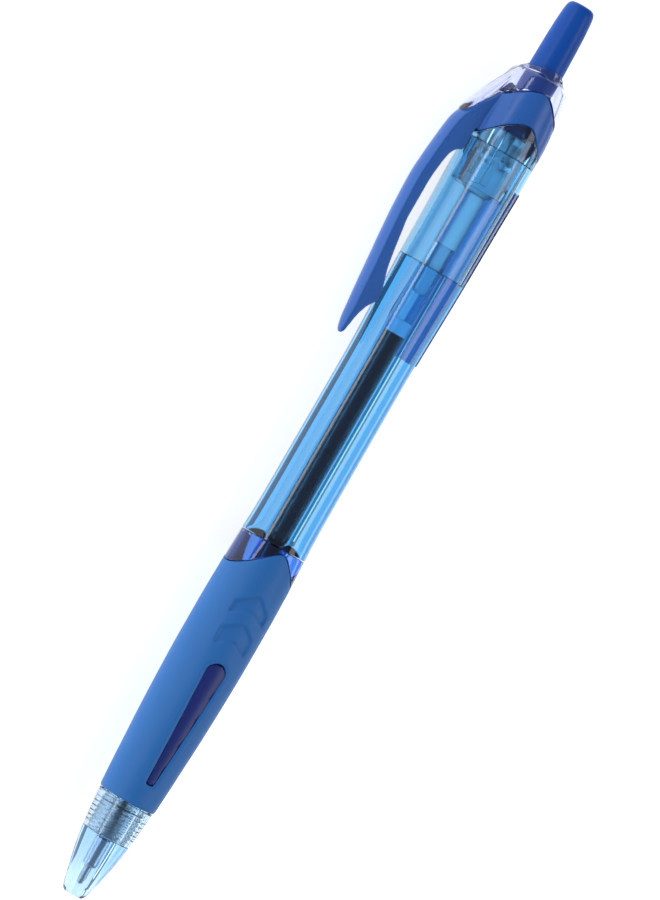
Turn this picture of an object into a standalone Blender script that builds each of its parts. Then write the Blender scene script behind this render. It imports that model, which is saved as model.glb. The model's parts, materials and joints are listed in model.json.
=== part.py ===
"""A retractable gel pen as separate pieces: barrel, grip, clip, cap, cam mechanism, refill, springs and nose cone.

The pieces are modelled on the pen's own axis (+Z from the nose to the button, +X towards the clip, origin at the
nose's end) and hang on one empty, which lays the pen down on its clip. Sizes are in millimetres until MM scales them.
"""
import bisect
import math

import bmesh
import bpy
from mathutils import Matrix, Vector

MM = 0.001

# along the pen, from the nose's end
LENGTH = 142.2
CONE_TOP = 15.0
GRIP_FOOT = 15.15
GRIP_PEAK = 55.4
BARREL_FOOT = 56.05
BARREL_TOP = 118.7
COLLAR_FOOT = 118.78
RING_FOOT_PEAK = 123.6
RING_TOP_PEAK = 128.5
CROWN_RIM = 131.3
CROWN_RIM_RISE = 0.8

# moving parts
RIB_COUNT = 4
GROOVE_HALF_ANGLE = 30.0
LUG_ANGLE = -18.0
CLIP_HINGE_X, CLIP_HINGE_Z = 8.98, 119.45
ROLL_ONTO_CLIP = 23.5

# fits
SEAM = 0.1
STEPS = 24

# the radii where the V-shaped edges are measured
GRIP_EDGE_RADIUS = 5.15
RING_FOOT_RADIUS = 5.45
RING_TOP_RADIUS = 5.2

# outer radius along the pen
CONE = [(0.0, 1.45), (0.35, 1.72), (0.8, 1.92), (1.9, 2.22), (2.6, 2.38), (5.4, 3.02), (8.2, 3.52), (11.0, 3.87),
        (13.8, 4.12), (CONE_TOP, 4.22)]
GRIP = [(GRIP_FOOT, 4.22), (15.5, 4.36), (16.5, 4.43), (19.3, 4.60), (22.1, 4.74), (27.6, 5.02), (33.2, 5.21),
        (38.8, 5.32), (44.3, 5.33), (49.9, 5.25), (54.9, 5.13), (GRIP_PEAK, 5.0)]
CORE = [(GRIP_FOOT, 3.3), (16.5, 3.4), (22.1, 3.65), (27.6, 3.95), (33.2, 4.12), (38.8, 4.22), (56.0, 4.22)]
BARREL = [(BARREL_FOOT, 5.05), (58.2, 4.94), (61.0, 4.87), (66.5, 4.84), (83.0, 4.80), (86.0, 4.82), (88.8, 4.88),
          (94.0, 5.02), (99.9, 5.16), (107.0, 5.26), (112.4, 5.36), (115.0, 5.42), (BARREL_TOP, 5.43)]
SHELL = [(COLLAR_FOOT, 5.43), (121.0, 5.46), (123.0, 5.38), (125.0, 5.17), (126.2, 5.02), (127.6, 4.85),
         (129.2, 4.58), (129.9, 4.4), (130.4, 4.05), (130.8, 3.6), (CROWN_RIM, 3.15), (132.2, 3.0)]
FIN = [(120.8, 8.42), (121.3, 8.35), (122.4, 8.05), (123.9, 7.4), (125.8, 6.45), (127.4, 5.65), (128.75, 4.85),
       (129.7, 4.45), (130.8, 3.6), (CROWN_RIM, 3.15), (132.2, 3.0)]

# clip arm: height, inner radius, outer radius, width
ARM = [(86.05, 7.42, 7.66, 0.7), (86.4, 7.26, 7.86, 1.5), (87.4, 7.18, 8.1, 2.3), (88.8, 7.05, 8.32, 2.8),
       (90.8, 6.5, 8.5, 3.2), (91.6, 6.0, 8.58, 3.3), (92.3, 5.55, 8.65, 3.4), (93.1, 5.4, 8.72, 3.4),
       (94.0, 5.6, 8.8, 3.5), (95.4, 6.1, 8.92, 3.5), (97.1, 6.62, 9.06, 3.6), (99.9, 7.15, 9.34, 3.6),
       (102.6, 7.55, 9.57, 3.6), (104.5, 7.82, 9.72, 3.6), (110.2, 7.82, 9.92, 3.6), (113.0, 7.56, 9.74, 3.6),
       (114.9, 7.2, 9.56, 3.6), (116.0, 6.5, 9.42, 3.6), (116.5, 5.64, 9.36, 3.6), (119.4, 5.64, 8.98, 3.6)]


def along(curve, z):
    """The curve's value at z, between its (z, value) points."""
    heights = [point[0] for point in curve]
    i = min(max(bisect.bisect_right(heights, z), 1), len(curve) - 1)
    (z0, a), (z1, b) = curve[i - 1], curve[i]
    share = min(max((z - z0) / (z1 - z0), 0.0), 1.0)
    return a + (b - a) * share


def stretch(curve, low, high, inset=0.0):
    """(radius, z) points of a curve from low to high, both ends included."""
    inside = [z for z, _ in curve if low + 1e-6 < z < high - 1e-6]
    return [(along(curve, z) - inset, z) for z in [low, *inside, high]]


def downwards(points):
    return list(reversed(points))


# the V-shaped edges, which peak on the pen's two flanks (x = 0)
def saddle(x, slope):
    return slope * (math.sqrt(x * x + 0.6) - 0.775)


def grip_top(angle):
    return GRIP_PEAK - saddle(GRIP_EDGE_RADIUS * math.cos(angle), 1.0)


def ring_foot(x):
    return RING_FOOT_PEAK - (0.142 * x * x if x > 0 else saddle(x, 0.92))


def ring_top(x):
    return RING_TOP_PEAK - (0.108 * x * x if x > 0 else saddle(x, 0.92))


def link(obj, collection, parent):
    collection.objects.link(obj)
    obj.parent = parent
    if collection is CUTTERS:
        obj.hide_render = True
        obj.display_type = "WIRE"
    return obj


def mesh_object(name, bm, collection):
    bmesh.ops.remove_doubles(bm, verts=bm.verts, dist=0.001 * MM)
    bmesh.ops.recalc_face_normals(bm, faces=bm.faces)
    mesh = bpy.data.meshes.new(name)
    bm.to_mesh(mesh)
    bm.free()
    return link(bpy.data.objects.new(name, mesh), collection, PEN)


def turned(name, profile, steps=STEPS, collection=None):
    """A Screw of (radius, z) points that run down the outer side, then up the inner one. A profile that starts on
    the axis also ends there, and any other is closed."""
    bm = bmesh.new()
    verts = [bm.verts.new(Vector((r, 0, z)) * MM) for r, z in profile]
    for a, b in zip(verts, verts[1:]):
        bm.edges.new((a, b))
    if profile[0][0] > 0:
        bm.edges.new((verts[-1], verts[0]))
    mesh = bpy.data.meshes.new(name)
    bm.to_mesh(mesh)
    bm.free()
    obj = link(bpy.data.objects.new(name, mesh), collection or PARTS, PEN)
    screw = obj.modifiers.new("Screw", "SCREW")
    screw.steps = screw.render_steps = steps
    screw.use_merge_vertices = True
    screw.merge_threshold = 0.001 * MM
    return obj


def turned_by_rule(name, section, steps=STEPS, collection=None):
    """Like turned, but the profile changes round the pen: section(angle) gives its (radius, z) points."""
    bm = bmesh.new()
    rings = []
    for i in range(steps):
        angle = 2 * math.pi * i / steps
        c, s = math.cos(angle), math.sin(angle)
        rings.append([bm.verts.new(Vector((r * c, r * s, z)) * MM) for r, z in section(angle)])
    count = len(rings[0])
    closed = rings[0][0].co.xy.length > 0.001 * MM
    for i in range(steps):
        here, there = rings[i], rings[(i + 1) % steps]
        for k in range(count if closed else count - 1):
            n = (k + 1) % count
            bm.faces.new((here[k], here[n], there[n], there[k]))
    return mesh_object(name, bm, collection or PARTS)


def loft(name, rings):
    """A skin through rings of points, closed by a face at each end."""
    bm = bmesh.new()
    loops = [[bm.verts.new(Vector(p) * MM) for p in ring] for ring in rings]
    count = len(loops[0])
    for here, there in zip(loops, loops[1:]):
        for k in range(count):
            n = (k + 1) % count
            bm.faces.new((here[k], here[n], there[n], there[k]))
    bm.faces.new(loops[0])
    bm.faces.new(loops[-1])
    return mesh_object(name, bm, PARTS)


def plate(name, outlines, thickness, collection=None, flat="XZ", centre=0.0):
    """Flat outlines in the pen's XZ or XY plane, made thickness thick about centre by Solidify."""
    bm = bmesh.new()
    for outline in outlines:
        places = [(a, centre, b) if flat == "XZ" else (a, b, centre) for a, b in outline]
        bm.faces.new([bm.verts.new(Vector(p) * MM) for p in places])
    mesh = bpy.data.meshes.new(name)
    bm.to_mesh(mesh)
    bm.free()
    obj = link(bpy.data.objects.new(name, mesh), collection or PARTS, PEN)
    solid = obj.modifiers.new("Solidify", "SOLIDIFY")
    solid.thickness = thickness * MM
    solid.offset = 0
    return obj


def block(name, low, high, turn):
    """A cutter box between two corners, turned about the pen's axis by turn degrees."""
    low, high = Vector(low) * MM, Vector(high) * MM
    bm = bmesh.new()
    place = Matrix.Rotation(math.radians(turn), 4, "Z") @ Matrix.Translation((low + high) / 2)
    bmesh.ops.create_cube(bm, size=1.0, matrix=place @ Matrix.Diagonal((*(high - low), 1.0)))
    return mesh_object(name, bm, CUTTERS)


def coil(name, radius, wire, low, high, turns, per_turn, sides):
    """A compression spring whose first and last turns lie closed."""
    closed = wire * 1.04
    live = (high - low - wire - 2 * closed) / (turns - 2)
    places = []
    for i in range(turns * per_turn + 1):
        turn = i / per_turn
        rise = closed * min(turn, 1.0) + live * min(max(turn - 1.0, 0.0), turns - 2.0) + closed * max(turn - turns + 1, 0)
        angle = 2 * math.pi * turn
        places.append(Vector((radius * math.cos(angle), radius * math.sin(angle), low + wire / 2 + rise)) * MM)
    curve = bpy.data.curves.new(name, "CURVE")
    curve.dimensions = "3D"
    curve.bevel_depth = wire / 2 * MM
    curve.bevel_resolution = sides
    curve.use_fill_caps = True
    spline = curve.splines.new("POLY")
    spline.points.add(len(places) - 1)
    for point, place in zip(spline.points, places):
        point.co = (*place, 1.0)
    return link(bpy.data.objects.new(name, curve), PARTS, PEN)


def boolean(obj, other, operation="DIFFERENCE"):
    modifier = obj.modifiers.new(f"{operation.title()} {other.name}", "BOOLEAN")
    modifier.operation = operation
    modifier.object = other


def material(obj, color, roughness, metallic=0.0, alpha=1.0):
    made = bpy.data.materials.new(obj.name)
    made.use_nodes = True
    shader = made.node_tree.nodes["Principled BSDF"]
    shader.inputs["Base Color"].default_value = (*color, 1.0)
    shader.inputs["Roughness"].default_value = roughness
    shader.inputs["Metallic"].default_value = metallic
    shader.inputs["Alpha"].default_value = alpha
    made.diffuse_color = (*color, alpha)
    obj.data.materials.append(made)


CLEAR = (0.72, 0.87, 0.96)
TINTED = (0.19, 0.47, 0.78)
DEEP_TINT = (0.06, 0.16, 0.50)
BLUE = (0.04, 0.13, 0.45)
RUBBER = (0.06, 0.22, 0.56)
STEEL = (0.62, 0.62, 0.63)
NATURAL = (0.66, 0.78, 0.86)


# nose cone and the threaded end that it screws on
def thread_ridges(root, crest, low, count, pitch):
    """(radius, z) points of ring-shaped ridges, going up."""
    points = []
    for i in range(count):
        z = low + i * pitch
        points += [(root, z - 0.2), (crest, z), (root, z + 0.2)]
    return points


def make_nose_cone():
    bore = [(1.25, 0.0), (1.25, 1.6), (1.45, 1.85), (1.45, 9.3), (3.45, 9.3)]
    bore += thread_ridges(3.45, 3.33, 10.6, 5, 0.72) + [(3.45, CONE_TOP)]
    cone = turned("nose_cone", downwards(stretch(CONE, 0.0, CONE_TOP)) + bore)
    material(cone, CLEAR, 0.06, alpha=0.4)


def window_outline(inset):
    """The kite-shaped window on each flank, shrunk by inset all round."""
    tip, half, foot = 0.15, 1.5 - inset, 0.65 - inset
    top, shoulder, low = 38.2 - 1.4 * inset, 36.0 - 0.4 * inset, 18.6 + inset
    return [(-tip, top), (tip, top), (half, shoulder), (foot, low), (-foot, low), (-half, shoulder)]


def make_front_barrel():
    neck = thread_ridges(3.05, 3.25, 10.24, 6, 0.72)

    def section(angle):
        step = grip_top(angle) + SEAM
        outside = [(5.05, 55.95), (5.05, step), (4.22, step)]
        outside += downwards(stretch(CORE, GRIP_FOOT + 0.05, 48.0))
        outside += [(3.05, GRIP_FOOT + 0.05), *downwards(neck), (3.05, 9.4)]
        return outside + [(2.15, 9.4), (2.15, 56.75), (2.4, 56.75), (2.85, 56.0), (3.0, 55.95)]

    front = turned_by_rule("front_barrel", section, steps=28)
    skin = turned("boss_skin", [*downwards(stretch(GRIP, 16.5, 44.3, 0.3)), (3.2, 16.5), (3.2, 44.3)],
                  collection=CUTTERS)
    boss = plate("window_boss", [window_outline(SEAM)], 14.0, CUTTERS)
    boolean(boss, skin, "INTERSECT")
    boolean(front, boss, "UNION")
    material(front, DEEP_TINT, 0.1, alpha=0.6)


def chevron(peak, inner_peak, end, inner_end, half):
    return [(0.0, peak), (half, end), (half, inner_end), (0.0, inner_peak), (-half, inner_end), (-half, end)]


def make_grip():
    bend = 44.3

    def section(angle):
        top = grip_top(angle)
        squeeze = (top - bend) / (GRIP_PEAK - bend)
        outside = [(r, z if z < bend else bend + (z - bend) * squeeze) for r, z in stretch(GRIP, GRIP_FOOT, GRIP_PEAK)]
        return downwards(outside) + stretch(CORE, GRIP_FOOT, bend, -0.06) + [(4.28, top)]

    grip = turned_by_rule("grip", section)
    boolean(grip, plate("window_cutter", [window_outline(0.0)], 14.0, CUTTERS))
    floor = turned("chevron_floor", [(8.0, 50.0), (8.0, 39.0), (5.08, 39.0), (5.08, 50.0)], collection=CUTTERS)
    marks = plate("chevron_cutter", [chevron(49.0, 46.7, 46.7, 45.2, 2.85), chevron(44.6, 41.8, 42.8, 40.4, 2.6)],
                  14.0, CUTTERS)
    boolean(marks, floor, "INTERSECT")
    boolean(grip, marks)
    material(grip, RUBBER, 0.5)


# barrel and the blank label on its back
def make_barrel():
    bore = [(2.95, BARREL_FOOT), (2.35, 56.9), (2.0, 57.9), (2.0, 99.3), (2.2, 99.8), (2.6, 99.95), (4.3, 99.95),
            (4.3, BARREL_TOP)]
    barrel = turned("barrel", downwards(stretch(BARREL, BARREL_FOOT, BARREL_TOP)) + bore)
    material(barrel, TINTED, 0.05, alpha=0.5)


def make_label():
    foot, top, start, end, lift, film = 87.2, 115.0, 150.0, 240.0, 0.1, 0.12
    label = turned("label", [(r + lift, z) for r, z in downwards(stretch(BARREL, foot, top))])
    bm = bmesh.new()
    bm.from_mesh(label.data)
    bm.edges.ensure_lookup_table()
    bm.edges.remove(bm.edges[-1])
    bm.transform(Matrix.Rotation(math.radians(start), 4, "Z"))
    bm.to_mesh(label.data)
    bm.free()
    screw = label.modifiers["Screw"]
    screw.angle = math.radians(end - start)
    screw.steps = screw.render_steps = round((end - start) / 360 * STEPS)
    screw.use_merge_vertices = False
    solid = label.modifiers.new("Solidify", "SOLIDIFY")
    solid.thickness = film * MM
    solid.offset = 0
    material(label, (0.8, 0.85, 0.9), 0.4)


# clip, crown and the cam housing under them
def make_cam_housing():
    profile = [(4.4, 125.5), (4.4, COLLAR_FOOT + 0.4), (4.22, COLLAR_FOOT), (4.22, 112.6), (3.5, 112.6), (3.5, 113.3),
               (2.95, 113.3), (2.95, 125.5)]
    housing = turned("cam_housing", profile)

    def collar(angle):
        top = ring_foot(RING_FOOT_RADIUS * math.cos(angle)) - SEAM
        return [(along(SHELL, top), top), (5.43, COLLAR_FOOT), (4.3, COLLAR_FOOT), (4.3, top)]

    boolean(housing, turned_by_rule("collar", collar, collection=CUTTERS), "UNION")
    sectors = []
    for i in range(RIB_COUNT):
        middle = 360 / RIB_COUNT * i
        angles = [math.radians(middle + GROOVE_HALF_ANGLE * k / 3) for k in range(-3, 4)]
        rim = [(3.5 * math.cos(a), 3.5 * math.sin(a)) for a in angles]
        near = [(2.0 * math.cos(a), 2.0 * math.sin(a)) for a in (angles[-1], angles[0])]
        sectors.append(rim + near)
    grooves = plate("groove_cutter", sectors, 9.0, CUTTERS, flat="XY", centre=117.5)
    boolean(housing, grooves)
    material(housing, TINTED, 0.08, alpha=0.5)


def make_clip_ring():
    def section(angle):
        foot = ring_foot(RING_FOOT_RADIUS * math.cos(angle))
        top = ring_top(RING_TOP_RADIUS * math.cos(angle))
        heights = [top + (foot - top) * i / 4 for i in range(5)]
        outside = [(along(SHELL, z), z) for z in heights]
        inside = [(min(4.47, along(SHELL, z) - 0.55), z) for z in downwards(heights)]
        return outside + inside

    ring = turned_by_rule("clip_ring", section, steps=48)
    slope = [(x, ring_top(x)) for x in (4.7, 5.6, 6.5, 7.4)]
    root = [(5.64, 119.5), (5.64, 119.98), (4.7, 119.98), *slope, (8.3, 121.2), (8.5, 120.8), (8.98, 119.5)]
    gusset = plate("clip_gusset", [root], 3.6, CUTTERS)
    boolean(ring, gusset, "UNION")
    material(ring, BLUE, 0.25)


def make_clip_arm(hinge):
    rings = []
    for z, inner, outer, width in ARM:
        half = width / 2
        crown = min(0.45, (outer - inner) * 0.3)
        edge = [(inner, -half), (outer - crown, -half), (outer - crown * 0.35, -half * 0.6), (outer, 0.0)]
        rings.append([(x, y, z) for x, y in edge] + [(x, -y, z) for x, y in reversed(edge[:-1])])
    arm = loft("clip_arm", rings)
    arm.parent = hinge
    arm.location = -hinge.location
    material(arm, BLUE, 0.25)


def fin_share(angle):
    """How far the crown reaches towards the fin's spine at an angle from the clip."""
    degrees = math.degrees(math.atan2(math.sin(angle), math.cos(angle)))
    return 1 / (1 + (abs(degrees) / 16.5) ** 8)


def crown_radius(angle, z):
    plain = along(SHELL, z)
    return plain + (along(FIN, z) - plain) * fin_share(angle)


def crown_foot(angle, inset):
    """Where the crown's wall, inset from its outside, meets the clip's sloping top: each round halves the error."""
    over_ring = ring_top(RING_TOP_RADIUS * math.cos(angle))
    z = over_ring
    for _ in range(12):
        radius = crown_radius(angle, z) - inset
        target = ring_top(radius * math.cos(angle))
        z += 0.5 * (max(target, over_ring) - z if radius < 5.7 else target - z)
    return z + 1.5 * SEAM


def make_crown():
    wall, bore, levels = 0.65, 2.74, 6

    def section(angle):
        rim = CROWN_RIM + CROWN_RIM_RISE * math.sin(angle) ** 2
        foot, inner_foot = crown_foot(angle, 0.0), crown_foot(angle, wall)
        outside_top, inside_top = rim - 0.15, rim - 1.0
        outside = [outside_top + (foot - outside_top) * i / levels for i in range(levels + 1)]
        inside = [inner_foot + (inside_top - inner_foot) * i / levels for i in range(levels + 1)]
        points = [(3.0, rim)] + [(max(crown_radius(angle, z), 3.1), z) for z in outside]
        points += [(max(crown_radius(angle, z) - wall, bore + 0.05), z) for z in inside]
        return points + [(bore, rim - 0.9), (bore, rim)]

    crown = turned_by_rule("crown", section, steps=48)
    material(crown, CLEAR, 0.05, alpha=0.35)


# button, cams and refill
def make_push_button():
    outside = [(0.0, LENGTH), (1.5, LENGTH), (1.95, 141.9), (2.17, 141.3), (2.27, 140.4), (2.4, 138.8), (2.5, 136.2),
               (2.56, 133.5), (2.6, 131.5), (2.6, 121.6)]
    button = turned("push_button", outside + [(1.6, 121.6), (1.6, 129.8), (0.0, 129.8)])
    material(button, (0.02, 0.08, 0.40), 0.2)


def tooth(angle, count, depth):
    """A saw tooth's height at an angle: it climbs slowly and drops at once."""
    return depth * ((angle / (2 * math.pi) * count) % 1.0)


def make_cam_plunger():
    tips, skirt_top = 117.6, 121.45

    def section(angle):
        edge = tips + tooth(angle, 8, 0.7)
        outside = [(1.5, 129.5), (1.5, skirt_top), (2.78, skirt_top), (2.78, edge)]
        return outside + [(1.95, edge), (1.95, 120.5), (0.6, 120.5), (0.6, 129.5)]

    plunger = turned_by_rule("cam_plunger", section)
    for i in range(RIB_COUNT):
        wing = block(f"plunger_wing_{i}", (2.5, -0.55, 118.8), (3.38, 0.55, 121.4), 360 / RIB_COUNT * i)
        boolean(plunger, wing, "UNION")
    material(plunger, NATURAL, 0.3, alpha=0.7)


def make_cam_rotor():
    crown_low, head_foot, shoulder = 116.4, 112.8, 103.7

    def section(angle):
        edge = crown_low + tooth(angle, 8, 0.6)
        head = [(0.0, 119.9), (1.72, 119.9), (1.72, edge), (2.7, edge), (2.7, head_foot), (1.65, head_foot - 0.6)]
        stem = [(1.65, shoulder), (1.1, shoulder), (1.1, 96.7), (0.75, 96.1), (0.0, 96.1)]
        return head + stem

    rotor = turned_by_rule("cam_rotor", section)
    for i in range(RIB_COUNT):
        lug = block(f"rotor_lug_{i}", (2.4, -0.4, 113.5), (3.38, 0.4, 117.2), 360 / RIB_COUNT * i + LUG_ANGLE)
        boolean(rotor, lug, "UNION")
    material(rotor, NATURAL, 0.3, alpha=0.7)


def make_refill():
    tube = turned("refill_tube", [(1.6, 103.6), (1.6, 25.05), (1.2, 25.05), (1.2, 103.6)])
    material(tube, NATURAL, 0.2, alpha=0.5)
    ink = turned("ink", [(0.0, 88.9), (1.15, 88.9), (1.15, 30.15), (0.38, 30.15), (0.38, 12.4), (0.0, 12.4)], steps=20)
    material(ink, (0.004, 0.008, 0.05), 0.2)
    follower = turned("ink_follower", [(0.0, 91.9), (1.15, 91.9), (1.15, 89.0), (0.0, 89.0)], steps=20)
    material(follower, (0.7, 0.75, 0.85), 0.1, alpha=0.4)
    outside = [(1.15, 30.0), (1.15, 24.95), (1.9, 24.95), (1.9, 23.6), (1.35, 23.2), (1.35, 9.15)]
    holder = turned("tip_holder", outside + [(0.8, 9.15), (0.8, 12.2), (0.45, 12.3), (0.45, 30.0)])
    material(holder, NATURAL, 0.3, alpha=0.6)


def make_writing_tip():
    outside = [(0.75, 12.0), (0.75, 9.1), (1.1, 9.0), (1.1, 5.1), (0.95, 4.75), (0.62, 4.55), (0.6, 2.7), (0.42, 1.85)]
    inside = [(0.385, 1.85), (0.385, 4.25), (0.22, 4.35), (0.22, 12.0)]
    tip = turned("writing_tip", outside + inside, steps=20)
    material(tip, STEEL, 0.25, metallic=1.0)
    bm = bmesh.new()
    bmesh.ops.create_uvsphere(bm, u_segments=16, v_segments=10, radius=0.35 * MM)
    ball = mesh_object("tip_ball", bm, PARTS)
    ball.location.z = 2.04 * MM
    material(ball, (0.4, 0.4, 0.42), 0.2, metallic=1.0)
    seat = coil("ball_spring", 0.24, 0.09, 2.44, 4.2, turns=7, per_turn=8, sides=0)
    material(seat, STEEL, 0.3, metallic=1.0)


def make_return_spring():
    spring = coil("return_spring", 1.72, 0.34, 9.35, 23.15, turns=11, per_turn=12, sides=1)
    material(spring, STEEL, 0.3, metallic=1.0)


def lay_down():
    """Puts the pen's lowest point on z = 0 and its box's middle on x = y = 0."""
    bpy.context.view_layer.update()
    graph = bpy.context.evaluated_depsgraph_get()
    places = []
    for obj in PARTS.objects:
        evaluated = obj.evaluated_get(graph)
        mesh = evaluated.to_mesh()
        places += [evaluated.matrix_world @ v.co for v in mesh.vertices]
        evaluated.to_mesh_clear()
    low = Vector(min(p[i] for p in places) for i in range(3))
    high = Vector(max(p[i] for p in places) for i in range(3))
    PEN.location -= Vector(((low.x + high.x) / 2, (low.y + high.y) / 2, low.z))


for old in list(bpy.data.objects):
    bpy.data.objects.remove(old)
PARTS = bpy.data.collections.new("gel_pen")
CUTTERS = bpy.data.collections.new("cutters")
for group in (PARTS, CUTTERS):
    bpy.context.scene.collection.children.link(group)

# local Z (to the button) lies along -X, and local X (to the clip) along -Y, tipped down until the clip rests
PEN = bpy.data.objects.new("pen_axis", None)
bpy.context.scene.collection.objects.link(PEN)
tip = math.radians(ROLL_ONTO_CLIP)
PEN.rotation_euler = Matrix((
    (0, 0, -1),
    (-math.cos(tip), -math.sin(tip), 0),
    (-math.sin(tip), math.cos(tip), 0),
)).to_euler()
CLIP_HINGE = bpy.data.objects.new("clip_hinge", None)
bpy.context.scene.collection.objects.link(CLIP_HINGE)
CLIP_HINGE.parent = PEN
CLIP_HINGE.location = Vector((CLIP_HINGE_X, 0, CLIP_HINGE_Z)) * MM

make_nose_cone()
make_front_barrel()
make_grip()
make_barrel()
make_label()
make_cam_housing()
make_clip_ring()
make_clip_arm(CLIP_HINGE)
make_crown()
make_push_button()
make_cam_plunger()
make_cam_rotor()
make_refill()
make_writing_tip()
make_return_spring()

for part in PARTS.objects:
    if part.type == "MESH":
        part.data.shade_smooth()
        part.data.set_sharp_from_angle(angle=math.radians(30))
lay_down()
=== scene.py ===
import bisect
import json
import math

import bmesh
import bpy
from mathutils import Matrix, Vector

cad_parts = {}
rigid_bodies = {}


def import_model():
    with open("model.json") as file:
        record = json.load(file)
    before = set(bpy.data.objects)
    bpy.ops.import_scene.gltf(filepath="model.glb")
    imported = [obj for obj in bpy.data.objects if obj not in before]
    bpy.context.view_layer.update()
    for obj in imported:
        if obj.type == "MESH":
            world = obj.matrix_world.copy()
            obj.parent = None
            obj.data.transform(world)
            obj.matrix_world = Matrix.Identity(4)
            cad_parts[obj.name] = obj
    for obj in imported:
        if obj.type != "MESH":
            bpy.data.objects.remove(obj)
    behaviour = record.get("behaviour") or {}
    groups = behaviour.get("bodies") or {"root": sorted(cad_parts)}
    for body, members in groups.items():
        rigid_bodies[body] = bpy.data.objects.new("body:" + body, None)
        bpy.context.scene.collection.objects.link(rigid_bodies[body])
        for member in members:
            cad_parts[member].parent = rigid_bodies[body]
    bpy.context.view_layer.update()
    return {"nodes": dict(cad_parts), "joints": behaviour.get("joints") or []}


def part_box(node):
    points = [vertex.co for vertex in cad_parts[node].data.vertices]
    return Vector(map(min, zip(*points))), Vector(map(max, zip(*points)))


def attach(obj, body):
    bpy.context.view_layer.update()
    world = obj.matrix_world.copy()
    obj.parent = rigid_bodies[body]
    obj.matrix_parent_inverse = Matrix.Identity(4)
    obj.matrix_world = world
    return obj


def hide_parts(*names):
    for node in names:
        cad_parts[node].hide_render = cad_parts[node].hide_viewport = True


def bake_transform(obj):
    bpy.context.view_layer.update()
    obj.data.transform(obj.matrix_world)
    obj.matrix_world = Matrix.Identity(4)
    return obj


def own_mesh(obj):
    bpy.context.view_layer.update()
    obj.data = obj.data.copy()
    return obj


for old in list(bpy.data.objects):
    bpy.data.objects.remove(old)
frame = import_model()
print("frame loaded:", len(frame["nodes"]), "nodes")

# The pen's own frame, in millimetres: z runs from the nose's end to the button, x points at the clip.
# Every piece is shaped in it, and put in its place on the table when it is finished.
mm = 0.001
joints = {joint["name"]: joint for joint in frame["joints"]}
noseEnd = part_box("nose_cone")[1].x
axisPoint = Vector(joints["nose_turn"]["pos_m"])
penZ = Vector((-1, 0, 0))
penY = -Vector(joints["clip_flex"]["axis"]).normalized()
penX = penY.cross(penZ)
penTurn = Matrix((penX, penY, penZ)).transposed()
penPlace = Vector((noseEnd, axisPoint.y, axisPoint.z))
insideFlats = 0.992  # the CAD's round pieces have flats, and the true rounds made here stay within them
penScale = Matrix.Diagonal((insideFlats * mm, insideFlats * mm, mm, 1.0))
penToWorld = Matrix.Translation(penPlace) @ penTurn.to_4x4() @ penScale


def span(node):  # where a CAD piece starts and ends along the pen
    low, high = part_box(node)
    return (noseEnd - high.x) / mm, (noseEnd - low.x) / mm


coneTop = span("nose_cone")[1]
gripFoot, gripPeak = span("grip")
barrelFoot, barrelTop = span("barrel")
penLength = span("push_button")[1]


def linear(hexCode):
    channels = [int(hexCode[i:i + 2], 16) / 255 for i in (1, 3, 5)]
    return (*[c / 12.92 if c <= 0.04045 else ((c + 0.055) / 1.055) ** 2.4 for c in channels], 1.0)


def smoothStep(low, high, value):
    t = min(max((value - low) / (high - low), 0.0), 1.0)
    return t * t * (3 - 2 * t)


def fair(outline):  # a smooth curve through (z, radius) points that never overshoots them
    heights = [z for z, _ in outline]
    radii = [r for _, r in outline]
    slopes = [(radii[i + 1] - radii[i]) / (heights[i + 1] - heights[i]) for i in range(len(outline) - 1)]
    tangents = [slopes[0]]
    for a, b in zip(slopes, slopes[1:]):
        tangents.append(0.0 if a * b <= 0 else 2 * a * b / (a + b))
    tangents.append(slopes[-1])

    def radius(z):
        i = min(max(bisect.bisect_right(heights, z) - 1, 0), len(slopes) - 1)
        width = heights[i + 1] - heights[i]
        t = min(max((z - heights[i]) / width, 0.0), 1.0)
        t2, t3 = t * t, t * t * t
        start = (2 * t3 - 3 * t2 + 1) * radii[i] + (t3 - 2 * t2 + t) * width * tangents[i]
        return start + (3 * t2 - 2 * t3) * radii[i + 1] + (t3 - t2) * width * tangents[i + 1]
    return radius


def stretch(curve, start, end, spacing, inset=0.0):  # (radius, z) points along a curve
    count = max(2, math.ceil(abs(end - start) / spacing))
    heights = [start + (end - start) * i / count for i in range(count + 1)]
    return [(curve(z) - inset, z) for z in heights]


def softened(points, arc=4):  # rounds every corner that is given with a third number, its radius
    out = []
    for i, point in enumerate(points):
        here = Vector(point[:2])
        if len(point) < 3:
            out.append(tuple(here))
            continue
        toBefore = Vector(points[i - 1][:2]) - here
        toAfter = Vector(points[(i + 1) % len(points)][:2]) - here
        reach = min(point[2], 0.45 * toBefore.length, 0.45 * toAfter.length)
        start, end = here + toBefore.normalized() * reach, here + toAfter.normalized() * reach
        for k in range(arc + 1):
            t = k / arc
            out.append(tuple(start * (1 - t) ** 2 + here * (2 * t * (1 - t)) + end * t * t))
    return out


def insideBy(outline, x, z):  # how far a point is inside a flat outline, less than 0 outside it
    inside, nearest = False, 1e9
    for (ax, az), (bx, bz) in zip(outline, outline[1:] + outline[:1]):
        if (az > z) != (bz > z) and x < ax + (bx - ax) * (z - az) / (bz - az):
            inside = not inside
        dx, dz = bx - ax, bz - az
        t = min(max(((x - ax) * dx + (z - az) * dz) / (dx * dx + dz * dz), 0.0), 1.0)
        nearest = min(nearest, math.hypot(x - ax - t * dx, z - az - t * dz))
    return nearest if inside else -nearest


def shade(piece, sharp=40.0):
    piece.data.shade_smooth()
    piece.data.set_sharp_from_angle(angle=math.radians(sharp))
    return piece


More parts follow.
